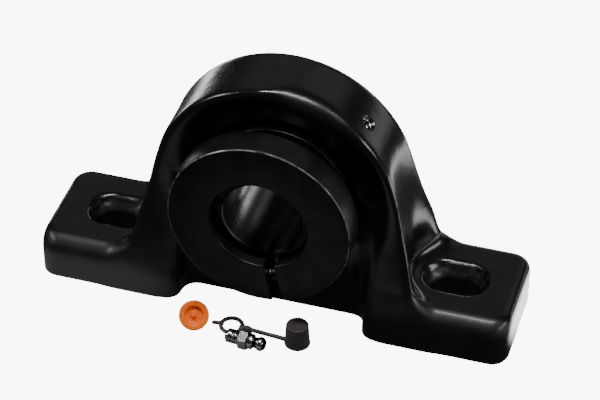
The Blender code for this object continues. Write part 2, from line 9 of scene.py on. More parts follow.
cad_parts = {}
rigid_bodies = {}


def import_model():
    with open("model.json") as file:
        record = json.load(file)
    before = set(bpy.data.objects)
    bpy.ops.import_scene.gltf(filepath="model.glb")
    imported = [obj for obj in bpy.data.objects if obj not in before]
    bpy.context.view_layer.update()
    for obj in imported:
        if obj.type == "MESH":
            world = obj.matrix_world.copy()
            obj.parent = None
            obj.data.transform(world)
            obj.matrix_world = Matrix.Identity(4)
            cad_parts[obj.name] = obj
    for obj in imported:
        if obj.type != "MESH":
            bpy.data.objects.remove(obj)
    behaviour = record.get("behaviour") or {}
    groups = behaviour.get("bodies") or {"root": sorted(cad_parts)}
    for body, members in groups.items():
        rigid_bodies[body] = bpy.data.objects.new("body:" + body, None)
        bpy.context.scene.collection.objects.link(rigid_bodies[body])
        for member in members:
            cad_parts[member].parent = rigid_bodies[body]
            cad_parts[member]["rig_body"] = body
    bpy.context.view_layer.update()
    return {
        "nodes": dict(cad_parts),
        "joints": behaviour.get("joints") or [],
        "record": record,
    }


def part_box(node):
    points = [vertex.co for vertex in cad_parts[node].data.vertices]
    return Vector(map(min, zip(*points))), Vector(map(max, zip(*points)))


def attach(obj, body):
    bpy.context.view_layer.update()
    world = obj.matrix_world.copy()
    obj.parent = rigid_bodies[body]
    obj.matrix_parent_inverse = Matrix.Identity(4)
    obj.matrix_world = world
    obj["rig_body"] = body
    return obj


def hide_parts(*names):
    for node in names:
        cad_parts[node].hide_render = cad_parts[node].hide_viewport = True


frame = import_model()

# Sizes in this file are millimetres, turned to metres when a piece is finished.
MM = 0.001
JOINTS = {joint["name"]: joint for joint in frame["joints"]}


def box_mm(node):
    """Low and high corner of a node's box in the CAD model, in millimetres."""
    low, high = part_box(node)
    return low / MM, high / MM


_, HOUSING_HIGH = box_mm("housing")
COLLAR_LOW, COLLAR_HIGH = box_mm("clamp_collar")
INNER_LOW, INNER_HIGH = box_mm("inner_ring")
_, OUTER_HIGH = box_mm("outer_ring")
SHAFT_HEIGHT = JOINTS["shaft_spin"]["pos_m"][2] / MM
CENTRE = Vector((0.0, 0.0, SHAFT_HEIGHT))

# housing: arch
ARCH_RADIUS = HOUSING_HIGH.z - SHAFT_HEIGHT
ARCH_HALF_WIDTH = 18.2
REAR_EXTRA = 1.5            # the rear face stands this much further out
ARCH_EDGE = 3.4             # softness of the edges between crown, flanks and faces
CROWN_EDGE_EXTRA = 9.0      # softer on the front, right of the top
LOW_EDGE_EXTRA = 4.0        # softer near the foot
FLANK_ANGLE = math.radians(17.5)
SWELL = 1.3                 # how far the flanks bulge
SWELL_HEIGHT = 78.0
SWELL_REACH = 24.0
FRONT_FLARE_TOP = 72.0      # below this the front of the legs widens towards the foot
REAR_FLARE_TOP = 92.0
FLARE_BOTTOM = 12.0
FLARE_INSET = 0.8           # the widened leg ends this far inside the foot's edge

# housing: foot
HALF_LENGTH = HOUSING_HIGH.x
HALF_WIDTH = HOUSING_HIGH.y
FOOT_HEIGHT = frame["record"]["mounts"][1]["pos_m"][2] / MM
FOOT_CORNER = 10.0
FOOT_EDGE = 6.0
FRONT_EDGE_EXTRA = 6.5
SIDE_EDGE = 2.5
BOTTOM_EDGE = 1.4
FOOT_FILLET = 8.0           # between arch and foot
BOLT_CENTRE = 85.75
SLOT_HALF_WIDTH = 8.0
SLOT_STRAIGHT = 3.4         # half of the slot's straight part
SLOT_EDGE = 2.2
MOUTH_DEPTH = 8.0           # the slot's mouth widens over this depth
RELIEF_RADIUS = 23.2
RELIEF_DRAFT = 0.04
RELIEF_FILLET = 8.0

# housing: openings
WEB_HALF_WIDTH = 14.0
LEG_INNER = 46.0
RECESS_TOP = -4.0           # from the shaft line
RECESS_CORNER = 9.0
DISH_RADIUS = 38.9
DISH_SLOPE = math.radians(60)
DISH_FLOOR = 9.0            # the dish stops this far from the middle plane
OPENING_EDGE = 9.0
PORT_ANGLE = math.radians(44.6)
PORT_Y = -3.0
PORT_RADIUS = 3.2
PORT_DEPTH = 11.0
PASSAGE_RADIUS = 1.6

# insert
SEAT_RADIUS = 40.35
OUTER_RADIUS = OUTER_HIGH.x
OUTER_HALF_WIDTH = OUTER_HIGH.y
SHAFT_RADIUS = 19.05
EXTENSION_RADIUS = 23.4
PITCH_RADIUS = 30.0
BALL_RADIUS = 6.35
BALL_COUNT = 9
RACEWAY_RADIUS = 6.75
RACEWAY_HALF_ANGLE = 50
WINDOW_GAP = 0.35
PIN_RADIUS = 1.5

# collar and screw
COLLAR_RADIUS = COLLAR_HIGH.x
COLLAR_BORE = 23.75
COLLAR_FRONT = -COLLAR_LOW.y
COLLAR_BACK = -COLLAR_HIGH.y
SLIT_ANGLE = math.radians(282.5)
SLIT_WIDTH = 6.0
SCREW_OFFSET = 34.0
HEAD_SEAT = 11.0
SCREW_SHANK = 3.95
SCREW_HEAD = 5.95
SHANK_LENGTH = 28.0
SOCKET_FLATS = 6.35
HOLE_GAP = 0.3

# loose grease kit
FITTING_START = Vector((-14.0, -49.6, 4.45))
FITTING_FLATS = 8.9
CHECK_BALL_RADIUS = 1.05
CAP_PLACE = (18.9, -40.7)
CAP_RADIUS = 6.15
CAP_TAPER = 0.055
CAP_HEIGHT = 11.9
CAP_HOLLOW_RADIUS = 3.7
CAP_HOLLOW_DEPTH = 9.0
RING_PLACE = (-14.7, -39.2, 1.1)
RING_RADIUS = 5.2
RING_THICKNESS = 1.05
PLUG_PLACE = (-32.4, -43.4, 6.5)
PLUG_TURN = math.radians(17)
PLUG_TILT = math.radians(48.9)

# studio: brightness of floor and background where the camera sees them, and where it doesn't
WHITE = 9.0
DIM_FLOOR = 0.035
DIM_SKY = 0.022
# direction, inner and outer angle in degrees, strength
GLOWS = (((-0.30, 0.74, 0.58), 5, 30, 0.17),
         ((0.26, 0.74, 0.62), 4, 18, 0.3),
         ((0.62, 0.78, 0.03), 3, 14, 1.0))
# centre, half sizes, softness of the edge, strength
POOLS = (((-0.10, -0.045), (0.06, 0.022), 0.5, 0.42), ((0.0, -0.115), (0.06, 0.045), 0.5, 0.3),
         ((0.135, 0.025), (0.03, 0.034), 0.3, 4.5), ((-0.42, 0.45), (0.13, 0.20), 0.4, 6.0),
         ((0.43, 0.07), (0.17, 0.16), 0.35, 4.5), ((0.19, 0.185), (0.045, 0.05), 0.6, 3.0))


# ------------------------------------------------------------------ shader maths
class Value:
    """A shader socket that Python's operators can work with."""

    def __init__(self, shader, socket):
        self.shader, self.socket = shader, socket

    def maths(self, operation, *others, first=None):
        values = ([first] if first is not None else []) + [self] + list(others)
        return self.shader.add("ShaderNodeMath", {"operation": operation}, dict(enumerate(values)))[0]

    def __add__(self, other):
        return self.maths("ADD", other)

    def __radd__(self, other):
        return self.maths("ADD", other)

    def __sub__(self, other):
        return self.maths("SUBTRACT", other)

    def __rsub__(self, other):
        return self.maths("SUBTRACT", first=other)

    def __mul__(self, other):
        return self.maths("MULTIPLY", other)

    def __rmul__(self, other):
        return self.maths("MULTIPLY", other)

    def __truediv__(self, other):
        return self.maths("DIVIDE", other)

    def __abs__(self):
        return self.maths("ABSOLUTE")

    def __pow__(self, other):
        return self.maths("POWER", other)

    def most(self, other):
        return self.maths("MAXIMUM", other)

    def ramp(self, start, end):
        """0 at start and 1 at end, clamped and eased."""
        kind = {"interpolation_type": "SMOOTHSTEP", "clamp": True}
        limits = {"Value": self, "From Min": start, "From Max": end}
        return self.shader.add("ShaderNodeMapRange", kind, limits)[0]


class Shader:
    """A shader tree under construction."""

    def __init__(self, tree):
        self.tree = tree

    def add(self, kind, settings, inputs):
        node = self.tree.nodes.new(kind)
        for key, value in settings.items():
            setattr(node, key, value)
        for key, value in inputs.items():
            if isinstance(value, Value):
                self.tree.links.new(value.socket, node.inputs[key])
            elif value is not None:
                node.inputs[key].default_value = value
        return Outputs(self, node)

    def vector_maths(self, operation, *vectors):
        return self.add("ShaderNodeVectorMath", {"operation": operation}, dict(enumerate(vectors)))


class Finish(Shader):
    """A material under construction."""

    def __init__(self, name):
        self.material = bpy.data.materials.new(name)
        self.material.use_nodes = True
        super().__init__(self.material.node_tree)
        self.shader = self.tree.nodes["Principled BSDF"]
        self.place = self.add("ShaderNodeTexCoord", {}, {})["Object"]

    def axes(self):
        parts = self.add("ShaderNodeSeparateXYZ", {}, {0: self.place})
        return parts[0], parts[1], parts[2]

    def noise(self, scale, detail=3.0, roughness=0.55, distortion=0.0):
        inputs = {"Vector": self.place, "Scale": scale, "Detail": detail, "Roughness": roughness,
                  "Distortion": distortion}
        return self.add("ShaderNodeTexNoise", {}, inputs)[0]

    def line_noise(self, value, scale, detail=4.0):
        """Noise that changes along one value only, as turning marks do."""
        return self.add("ShaderNodeTexNoise", {"noise_dimensions": "1D"},
                        {"W": value, "Scale": scale, "Detail": detail})[0]

    def blend(self, factor, first, second):
        """Colour between two colours, which are tuples or values."""
        colour = {6: (*first, 1.0) if isinstance(first, tuple) else first,
                  7: (*second, 1.0) if isinstance(second, tuple) else second, 0: factor}
        return self.add("ShaderNodeMix", {"data_type": "RGBA"}, colour)[2]

    def bump(self, height, distance, strength, normal=None):
        inputs = {"Height": height, "Distance": distance, "Strength": strength, "Normal": normal}
        return self.add("ShaderNodeBump", {}, inputs)[0]

    def done(self, colour, roughness, metallic=0.0, normal=None, constants=None):
        for key, value in {"Base Color": colour, "Roughness": roughness, "Metallic": metallic,
                           "Normal": normal}.items():
            if isinstance(value, Value):
                self.tree.links.new(value.socket, self.shader.inputs[key])
            elif value is not None:
                self.shader.inputs[key].default_value = (*value, 1.0) if isinstance(value, tuple) else value
        for key, value in (constants or {}).items():
            self.shader.inputs[key].default_value = value
        return self.material


class Outputs:
    """A node's outputs, by number or by name."""

    def __init__(self, finish, node):
        self.finish, self.node = finish, node

    def __getitem__(self, key):
        return Value(self.finish, self.node.outputs[key])


def shaft_radius(finish):
    """Distance from the shaft axis, in metres."""
    x, _, z = finish.axes()
    up = z - SHAFT_HEIGHT * MM
    return (x * x + up * up) ** 0.5


def gloss_black_paint():
    """Thick glossy black paint over a sand casting: soft mottling, duller front edges, rough slot walls."""
    finish = Finish("gloss_black_paint")
    x, y, z = finish.axes()
    lumps = finish.noise(95.0, 2.0)
    grain = finish.noise(420.0, 3.0)
    peel = finish.noise(1500.0, 2.0)
    offset = abs(x) - BOLT_CENTRE * MM
    from_slot = (offset * offset + y * y) ** 0.5
    in_slot = (1 - from_slot.ramp(12.5 * MM, 14.5 * MM)) * (1 - z.ramp(22.0 * MM, 24.5 * MM))
    blobs = finish.noise(330.0, 4.0, 0.65)
    foot_edge = ((1 - y.ramp(-24.0 * MM, -19.0 * MM)) * (1 - z.ramp(26.0 * MM, 34.0 * MM))
                 * z.ramp(12.0 * MM, 20.0 * MM))
    crown_edge = ((1 - y.ramp(-15.0 * MM, -9.0 * MM)) * z.ramp(104.0 * MM, 114.0 * MM)
                  * x.ramp(-4.0 * MM, 8.0 * MM) * (1 - x.ramp(26.0 * MM, 42.0 * MM)))
    dull = foot_edge.most(crown_edge)
    foot_front = (1 - z.ramp(16.0 * MM, 22.0 * MM)) * finish.noise(60.0, 3.0).ramp(0.42, 0.62)
    cast = finish.bump(lumps * 0.55 + grain * (0.16 + 0.3 * foot_front), 0.55 * MM, 0.55)
    slot_cast = finish.bump(blobs * in_slot, 0.6 * MM, 0.8, cast)
    normal = finish.bump(peel, 0.022 * MM, 0.5, slot_cast)
    colour = finish.blend(finish.noise(70.0, 4.0).ramp(0.35, 0.7), (0.0032, 0.0032, 0.0036),
                          (0.0062, 0.0060, 0.0060))
    roughness = 0.16 + 0.12 * lumps + 0.14 * foot_front * grain + 0.12 * in_slot + 0.24 * dull
    return finish.done(colour, roughness, 0.0, normal, {"Coat Weight": 0.2, "Coat Roughness": 0.2})


def black_oxide():
    """Blackened turned steel: fine rings on the faces; the outer front edge is near-white in broken
    stretches, partly rubbed bare and partly a painted highlight.
    """
    finish = Finish("black_oxide")
    _, y, _ = finish.axes()
    radius = shaft_radius(finish)
    rings = finish.line_noise(radius + y * 0.7, 2600.0, 5.0)
    stain = finish.noise(85.0, 5.0, 0.6, distortion=0.6)
    wear_and_sheen = finish.noise(260.0, 3.0)
    outer = radius.ramp((COLLAR_RADIUS - 0.75) * MM, (COLLAR_RADIUS - 0.25) * MM)
    front = 1 - y.ramp((-COLLAR_FRONT + 0.25) * MM, (-COLLAR_FRONT + 0.8) * MM)
    # partly wear, partly painted highlight: near-white stretches on the outer front edge
    edge = outer * front * wear_and_sheen.ramp(0.3, 0.62)
    dark = finish.blend(stain.ramp(0.32, 0.72), (0.008, 0.0078, 0.008), (0.020, 0.019, 0.0185))
    colour = finish.blend(edge * 0.9, dark, (0.80, 0.78, 0.75))
    roughness = 0.27 + 0.14 * stain + 0.07 * rings - 0.08 * edge
    normal = finish.bump(rings, 0.035 * MM, 0.55)
    return finish.done(colour, roughness, 0.62, normal)


def bearing_steel():
    """Ground bearing steel, with lines round the axis. Painted shade makes the faces behind the collar and
    the bore near black, except a painted highlight patch on the bore's left wall, which keeps the steel's
    colour.
    """
    finish = Finish("bearing_steel")
    x, y, _ = finish.axes()
    radius = shaft_radius(finish)
    lines = finish.line_noise(y + radius * 0.6, 3600.0, 4.0)
    stain = finish.noise(120.0, 4.0, 0.6, distortion=0.4)
    bright = finish.blend(stain.ramp(0.35, 0.75), (0.62, 0.61, 0.60), (0.43, 0.42, 0.41))
    # painted shade: near-black colour for steel that sits in shade
    painted_shade_colour = finish.blend(stain.ramp(0.3, 0.7), (0.022, 0.0215, 0.021), (0.010, 0.0098, 0.0096))
    # painted shade on the steel faces in front of the bearing, behind the collar
    behind_collar = (1 - y.ramp(-10.9 * MM, -10.5 * MM)) * (1 - radius.ramp(41.0 * MM, 42.0 * MM))
    # painted shade in the bore; a patch on its left wall keeps the bright colour as a painted highlight
    bore = 1 - radius.ramp((SHAFT_RADIUS + 0.4) * MM, (SHAFT_RADIUS + 0.8) * MM)
    painted_highlight_patch = bore * (1 - x.ramp(-15.0 * MM, -5.0 * MM))
    colour = finish.blend(behind_collar.most(bore) * (1 - painted_highlight_patch), bright, painted_shade_colour)
    roughness = 0.15 + 0.10 * lines + 0.10 * stain
    return finish.done(colour, roughness, 1.0, finish.bump(lines, 0.012 * MM, 0.5))


def flinger_steel():
    """Pressed steel with turning marks, coloured dark as painted shade for the shade it lies in between the
    collar and the housing.
    """
    finish = Finish("flinger_steel")
    stain = finish.noise(150.0, 4.0)
    rings = finish.line_noise(shaft_radius(finish), 1800.0, 3.0)
    # painted shade: the pressing's colour is kept dark grey because it sits in shade
    colour = finish.blend(stain.ramp(0.3, 0.7), (0.085, 0.085, 0.088), (0.05, 0.05, 0.05))
    return finish.done(colour, 0.26 + 0.2 * stain, 1.0, finish.bump(rings, 0.02 * MM, 0.5))


def screw_steel():
    """Dark alloy steel with a fine grain."""
    finish = Finish("screw_steel")
    stain = finish.noise(420.0, 4.0)
    colour = finish.blend(stain.ramp(0.3, 0.7), (0.12, 0.118, 0.115), (0.06, 0.059, 0.058))
    normal = finish.bump(finish.noise(1800.0, 2.0), 0.02 * MM, 0.5)
    return finish.done(colour, 0.22 + 0.22 * stain, 1.0, normal)


def zinc_plate():
    """Bright zinc plate with a faint tint and dull spots; painted shade makes it near black in the thread
    roots, the groove and the bore.
    """
    finish = Finish("zinc_plate")
    tint = finish.noise(260.0, 2.0)
    spots = finish.noise(1500.0, 3.0)
    axis = -Vector(JOINTS["valve_travel"]["axis"])
    offset = finish.vector_maths("SUBTRACT", finish.place, FITTING_START * MM)[0]
    across = finish.vector_maths("CROSS_PRODUCT", offset, axis)[0]
    radius = finish.vector_maths("LENGTH", across)["Value"]
    colour = finish.blend(tint.ramp(0.35, 0.65), (0.68, 0.67, 0.64), (0.58, 0.60, 0.63))
    colour = finish.blend(spots.ramp(0.62, 0.8) * 0.3, colour, (0.36, 0.36, 0.36))
    # painted shade: near black close to the axis, in the thread roots, the neck groove and the bore
    thread_root_shade = 1 - radius.ramp(2.75 * MM, 3.15 * MM)
    colour = finish.blend(thread_root_shade * 0.97, colour, (0.012, 0.012, 0.012))
    return finish.done(colour, 0.14 + 0.08 * spots, 1.0, finish.bump(spots, 0.006 * MM, 0.4))


def seal_rubber():
    """Matt black rubber."""
    finish = Finish("seal_rubber")
    grain = finish.noise(1400.0, 3.0)
    colour = finish.blend(grain.ramp(0.3, 0.7), (0.012, 0.012, 0.012), (0.022, 0.021, 0.02))
    return finish.done(colour, 0.5 + 0.15 * grain, 0.0, finish.bump(grain, 0.03 * MM, 0.5))


def cap_rubber():
    """Moulded rubber: brown-black, dull, with fine dust in its grain."""
    finish = Finish("cap_rubber")
    grain = finish.noise(2300.0, 3.0)
    cloud = finish.noise(240.0, 3.0)
    _, _, z = finish.axes()
    dust = finish.noise(900.0, 4.0).ramp(0.55, 0.8) * 0.35
    colour = finish.blend(cloud.ramp(0.3, 0.7), (0.020, 0.0155, 0.0145), (0.037, 0.029, 0.027))
    colour = finish.blend(dust, colour, (0.095, 0.082, 0.076))
    normal = finish.bump(grain * 0.7 + cloud * 0.8, 0.05 * MM, 0.6)
    return finish.done(colour, 0.46 + 0.2 * grain + z * 2.0, 0.0, normal, {"Sheen Weight": 0.12})


def orange_plastic():
    """Moulded polyethylene: saturated orange, a little light in it, faint flow marks."""
    finish = Finish("orange_plastic")
    flow = finish.noise(330.0, 3.0, distortion=1.2)
    grain = finish.noise(2600.0, 2.0)
    colour = finish.blend(flow.ramp(0.3, 0.7), (1.0, 0.145, 0.003), (1.0, 0.205, 0.006))
    normal = finish.bump(flow * 0.5 + grain * 0.25, 0.06 * MM, 0.5)
    return finish.done(colour, 0.30 + 0.12 * flow, 0.0, normal,
                       {"Subsurface Weight": 0.12, "Subsurface Scale": 0.002})


def cage_nylon():
    """Cream nylon."""
    finish = Finish("cage_nylon")
    grain = finish.noise(700.0, 3.0)
    colour = finish.blend(grain.ramp(0.3, 0.7), (0.60, 0.54, 0.42), (0.68, 0.63, 0.50))
    return finish.done(colour, 0.42 + 0.15 * grain, 0.0, finish.bump(grain, 0.03 * MM, 0.5))


MATERIALS = {make.__name__: make() for make in (
    gloss_black_paint, black_oxide, bearing_steel, flinger_steel, screw_steel, zinc_plate, seal_rubber,
    cap_rubber, orange_plastic, cage_nylon)}


# ------------------------------------------------------------------ finishing a piece
def piece(name, mesh, node, slot, sharp, matrix=None):
    """Move a finished piece to its place in metres; it rides on its node's body and replaces the node."""
    if matrix:
        mesh.transform(matrix)
    mesh.transform(Matrix.Scale(MM, 4))
    mesh.materials.clear()
    mesh.materials.append(MATERIALS[slot])
    mesh.shade_smooth()
    mesh.set_sharp_from_angle(angle=math.radians(sharp))
    item = bpy.data.objects.new(name, mesh)
    bpy.context.scene.collection.objects.link(item)
    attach(item, frame["nodes"][node]["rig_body"])
    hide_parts(node)


def from_bmesh(name, form):
    mesh = bpy.data.meshes.new(name)
    form.to_mesh(mesh)
    form.free()
    return mesh


def along(origin, direction):
    """A frame at origin whose Z runs along direction."""
    return Matrix.Translation(origin) @ Vector(direction).to_track_quat("Z", "Y").to_matrix().to_4x4()


def radial(angle, length=1.0):
    """A vector from the shaft line outwards, with its angle counted from X."""
    return Vector((math.cos(angle), 0.0, math.sin(angle))) * length


ON_SHAFT = Matrix.Translation(CENTRE) @ Matrix.Rotation(math.radians(90), 4, "X")


def arc(centre, radius, start, end, steps):
    """Points of an arc between two angles in degrees."""
    angles = [math.radians(start + (end - start) * i / steps) for i in range(steps + 1)]
    return [(centre[0] + radius * math.cos(a), centre[1] + radius * math.sin(a)) for a in angles]


def eased(profile, radius, steps=3, closed=True):
    """The profile with each corner rounded; an open profile keeps its two ends."""
    points = []
    count = len(profile)
    for i, corner in enumerate(profile):
        here = Vector(corner)
        if not closed and i in (0, count - 1):
            points.append(tuple(here))
            continue
        before, after = Vector(profile[i - 1]), Vector(profile[(i + 1) % count])
        reach = min(radius, (before - here).length * 0.45, (after - here).length * 0.45)
        start = here + (before - here).normalized() * reach
        end = here + (after - here).normalized() * reach
        for j in range(steps + 1):
            t = j / steps
            points.append(tuple(start * (1 - t) ** 2 + here * 2 * t * (1 - t) + end * t * t))
    return points


def turned(profile, steps=160, closed=True):
    """A solid turned about Z from (radius, height) points that run down its outer side."""
    form = bmesh.new()
    rings = []
    for radius, height in profile:
        if radius < 1e-6:
            rings.append([form.verts.new((0.0, 0.0, height))] * steps)
            continue
        rings.append([form.verts.new((radius * math.cos(2 * math.pi * i / steps),
                                      radius * math.sin(2 * math.pi * i / steps), height))
                      for i in range(steps)])
    pairs = list(zip(rings, rings[1:] + rings[:1]))
    for upper, lower in pairs if closed else pairs[:-1]:
        for i in range(steps):
            j = (i + 1) % steps
            corners = []
            for vertex in (upper[i], lower[i], lower[j], upper[j]):
                if vertex not in corners:
                    corners.append(vertex)
            if len(corners) > 2:
                form.faces.new(corners)
    return from_bmesh("turned", form)


def prism(outline, bottom, top):
    """A solid of a flat outline between two heights."""
    form = bmesh.new()
    lower = [form.verts.new((x, y, bottom)) for x, y in outline]
    upper = [form.verts.new((x, y, top)) for x, y in outline]
    form.faces.new(lower[::-1])
    form.faces.new(upper)
    for i in range(len(outline)):
        j = (i + 1) % len(outline)
        form.faces.new((lower[i], lower[j], upper[j], upper[i]))
    bmesh.ops.recalc_face_normals(form, faces=form.faces)
    return from_bmesh("prism", form)


def cylinder(radius, bottom, top, steps=48):
    return prism(arc((0, 0), radius, 0, 360 * (1 - 1 / steps), steps - 1), bottom, top)


def block(size, centre=(0, 0, 0)):
    x, y, z = (half / 2 for half in size)
    mesh = prism([(-x, -y), (x, -y), (x, y), (-x, y)], -z, z)
    mesh.transform(Matrix.Translation(centre))
    return mesh


def placed(mesh, matrix):
    mesh.transform(matrix)
    return mesh


def evaluated(item):
    """A new mesh of the object as its modifiers leave it."""
    bpy.context.view_layer.update()
    return bpy.data.meshes.new_from_object(item.evaluated_get(bpy.context.evaluated_depsgraph_get()))


def carve(mesh, tools, operation="DIFFERENCE"):
    """The mesh with each tool cut away, or with only what it shares with each tool, as a new mesh."""
    body = bpy.data.objects.new("body", mesh)
    bpy.context.scene.collection.objects.link(body)
    helpers = []
    for tool in tools:
        helper = bpy.data.objects.new("tool", tool)
        bpy.context.scene.collection.objects.link(helper)
        modifier = body.modifiers.new("Cut", "BOOLEAN")
        modifier.operation, modifier.solver, modifier.object = operation, "MANIFOLD", helper
        helpers.append(helper)
    result = evaluated(body)
    for item in [body, *helpers]:
        bpy.data.objects.remove(item)
    return result


def bevelled(mesh, width, segments, angle):
    """The mesh with every edge sharper than the angle bevelled."""
    item = bpy.data.objects.new("bevelled", mesh)
    bpy.context.scene.collection.objects.link(item)
    bevel = item.modifiers.new("Bevel", "BEVEL")
    bevel.width, bevel.segments, bevel.limit_method = width, segments, "ANGLE"
    bevel.angle_limit = math.radians(angle)
    bevel.use_clamp_overlap = True
    result = evaluated(item)
    bpy.data.objects.remove(item)
    return result


def merged(*meshes):
    form = bmesh.new()
    for mesh in meshes:
        form.from_mesh(mesh)
    return from_bmesh("merged", form)


# ------------------------------------------------------------------ geometry nodes
class Generator:
    """A Geometry Nodes tree with named inputs, made into a plain mesh."""

    def __init__(self, name, **inputs):
        self.tree = bpy.data.node_groups.new(name, "GeometryNodeTree")
        self.tree.interface.new_socket("Geometry", in_out="OUTPUT", socket_type="NodeSocketGeometry")
        self.values = inputs
        for key, value in inputs.items():
            kind = "NodeSocketInt" if isinstance(value, int) else "NodeSocketFloat"
            self.tree.interface.new_socket(key, in_out="INPUT", socket_type=kind)
        self.group_in = self.tree.nodes.new("NodeGroupInput")

    def node(self, kind, settings=None, **inputs):
        made = self.tree.nodes.new(kind)
        for key, value in (settings or {}).items():
            setattr(made, key, value)
        for key, value in inputs.items():
            socket = made.inputs[key.replace("_", " ")]
            if isinstance(value, bpy.types.NodeSocket):
                self.tree.links.new(value, socket)
            else:
                socket.default_value = value
        return made.outputs[0]

    def given(self, key):
        return self.group_in.outputs[key]

    def mesh(self, geometry, material):
        real = self.node("GeometryNodeRealizeInstances", Geometry=geometry)
        painted = self.node("GeometryNodeSetMaterial", Geometry=real, Material=MATERIALS[material])
        end = self.tree.nodes.new("NodeGroupOutput")
        self.tree.links.new(painted, end.inputs[0])
        holder = bpy.data.objects.new("holder", bpy.data.meshes.new("holder"))
        bpy.context.scene.collection.objects.link(holder)
        modifier = holder.modifiers.new("Make", "NODES")
        modifier.node_group = self.tree
        sockets = {item.name: item.identifier for item in self.tree.interface.items_tree
                   if item.item_type == "SOCKET" and item.in_out == "INPUT"}
        for key, value in self.values.items():
            modifier[sockets[key]] = value
        result = evaluated(holder)
        holder.modifiers.remove(modifier)
        bpy.data.objects.remove(holder)
        bpy.data.node_groups.remove(self.tree)
        return result


def thread(material, radius, pitch, length, ridge):
    """A helical ridge round Z, from 0 up to its length."""
    maker = Generator("thread", Radius=float(radius), Pitch=float(pitch), Length=float(length),
                      Ridge=float(ridge))
    turns = maker.node("ShaderNodeMath", {"operation": "DIVIDE"})
    divide = turns.node
    maker.tree.links.new(maker.given("Length"), divide.inputs[0])
    maker.tree.links.new(maker.given("Pitch"), divide.inputs[1])
    path = maker.node("GeometryNodeCurveSpiral", Resolution=40, Rotations=turns,
                      Start_Radius=maker.given("Radius"), End_Radius=maker.given("Radius"),
                      Height=maker.given("Length"))
    section = maker.node("GeometryNodeCurvePrimitiveCircle", Resolution=6, Radius=maker.given("Ridge"))
    ribbon = maker.node("GeometryNodeCurveToMesh", Curve=path, Profile_Curve=section, Fill_Caps=True)
    return maker.mesh(ribbon, material)


def ball(name, radius, segments):
    """A round ball of bearing steel in the middle of its node's box."""
    low, high = box_mm(name)
    maker = Generator("ball", Radius=radius)
    mesh = maker.mesh(maker.node("GeometryNodeMeshUVSphere", Segments=segments, Rings=segments // 2,
                                 Radius=maker.given("Radius")), "bearing_steel")
    piece(f"{name}_polished", mesh, name, "bearing_steel", 60.0, Matrix.Translation((low + high) / 2))


def ring_of(material, count, radius, tool):
    """Copies of one small solid round Z, turned to face outwards."""
    holder = bpy.data.objects.new("tool", tool)
    bpy.context.scene.collection.objects.link(holder)
    maker = Generator("ring_of", Count=int(count), Radius=float(radius))
    circle = maker.node("GeometryNodeMeshCircle", Vertices=maker.given("Count"),
                        Radius=maker.given("Radius"))
    source = maker.tree.nodes.new("GeometryNodeObjectInfo")
    source.inputs["Object"].default_value = holder
    geometry = next(output for output in source.outputs if output.name == "Geometry")
    position = maker.node("GeometryNodeInputPosition")
    turn = maker.node("FunctionNodeAlignRotationToVector", {"axis": "X"}, Vector=position)
    copies = maker.node("GeometryNodeInstanceOnPoints", Points=circle, Instance=geometry, Rotation=turn)
    mesh = maker.mesh(copies, material)
    bpy.data.objects.remove(holder)
    return mesh


# ------------------------------------------------------------------ moulded and cast forms
def joined(first, second, blend):
    """Two fields as one, with a fillet where they meet."""
    share = np.clip(0.5 + 0.5 * (second - first) / blend, 0.0, 1.0)
    return second * (1 - share) + first * share - blend * share * (1 - share)


def common(first, second, blend):
    """What two fields share, with a rounded edge where they meet."""
    return -joined(-first, -second, blend)


def without(first, second, blend):
    """The first field with the second cut out of it, with a rounded edge."""
    return -joined(-first, second, blend)


def eased_step(value, start, end):
    """0 at start and 1 at end, eased; start may be the larger of the two."""
    share = np.clip((value - start) / (end - start), 0.0, 1.0)
    return share * share * (3 - 2 * share)


def moulded(name, field, low, high, step):
    """Closed mesh of the surface where the field is zero, each point settled on the surface itself."""
    low = np.array(low, float)
    counts = [int(math.ceil((b - a) / step)) + 1 for a, b in zip(low, high)]
    grid = np.meshgrid(*[low[i] + step * np.arange(counts[i]) for i in range(3)], indexing="ij")
    value = field(*grid)
    inside = value < 0
    cells = tuple(n - 1 for n in counts)
    total, hits = np.zeros(cells + (3,)), np.zeros(cells)
    quads = []
    for axis in range(3):
        others = [a for a in range(3) if a != axis]
        head, tail = [slice(None)] * 3, [slice(None)] * 3
        head[axis], tail[axis] = slice(0, -1), slice(1, None)
        first, second = value[tuple(head)], value[tuple(tail)]
        crossed = (first < 0) != (second < 0)
        spots = np.argwhere(crossed)
        a, b = first[crossed], second[crossed]
        points = spots.astype(float)
        points[:, axis] += a / (a - b)
        around = []
        for step_one, step_two in ((0, 0), (-1, 0), (-1, -1), (0, -1)):
            cell = spots.copy()
            cell[:, others[0]] += step_one
            cell[:, others[1]] += step_two
            np.add.at(total, tuple(cell.T), points)
            np.add.at(hits, tuple(cell.T), 1)
            around.append(np.ravel_multi_index(tuple(cell.T), cells))
        faces = np.stack(around, 1)
        outward = inside[tuple(spots.T)] ^ (axis == 1)
        quads.append(np.where(outward[:, None], faces, faces[:, ::-1]))
    quads = np.concatenate(quads)
    used, corners = np.unique(quads, return_inverse=True)
    spot = total.reshape(-1, 3)[used] / hits.reshape(-1)[used][:, None]
    points = low + step * spot
    start = points.copy()
    small = 0.02 * step
    for _ in range(5):
        distance = field(*points.T)
        slope = np.stack([(field(*(points + offset).T) - field(*(points - offset).T)) / (2 * small)
                          for offset in np.eye(3) * small], 1)
        size = np.maximum((slope ** 2).sum(1), 0.25)
        points = points - (distance / size)[:, None] * slope
        points = start + np.clip(points - start, -0.75 * step, 0.75 * step)
    mesh = bpy.data.meshes.new(name)
    mesh.from_pydata(points.tolist(), [], corners.reshape(-1, 4).tolist())
    mesh.validate()
    return mesh


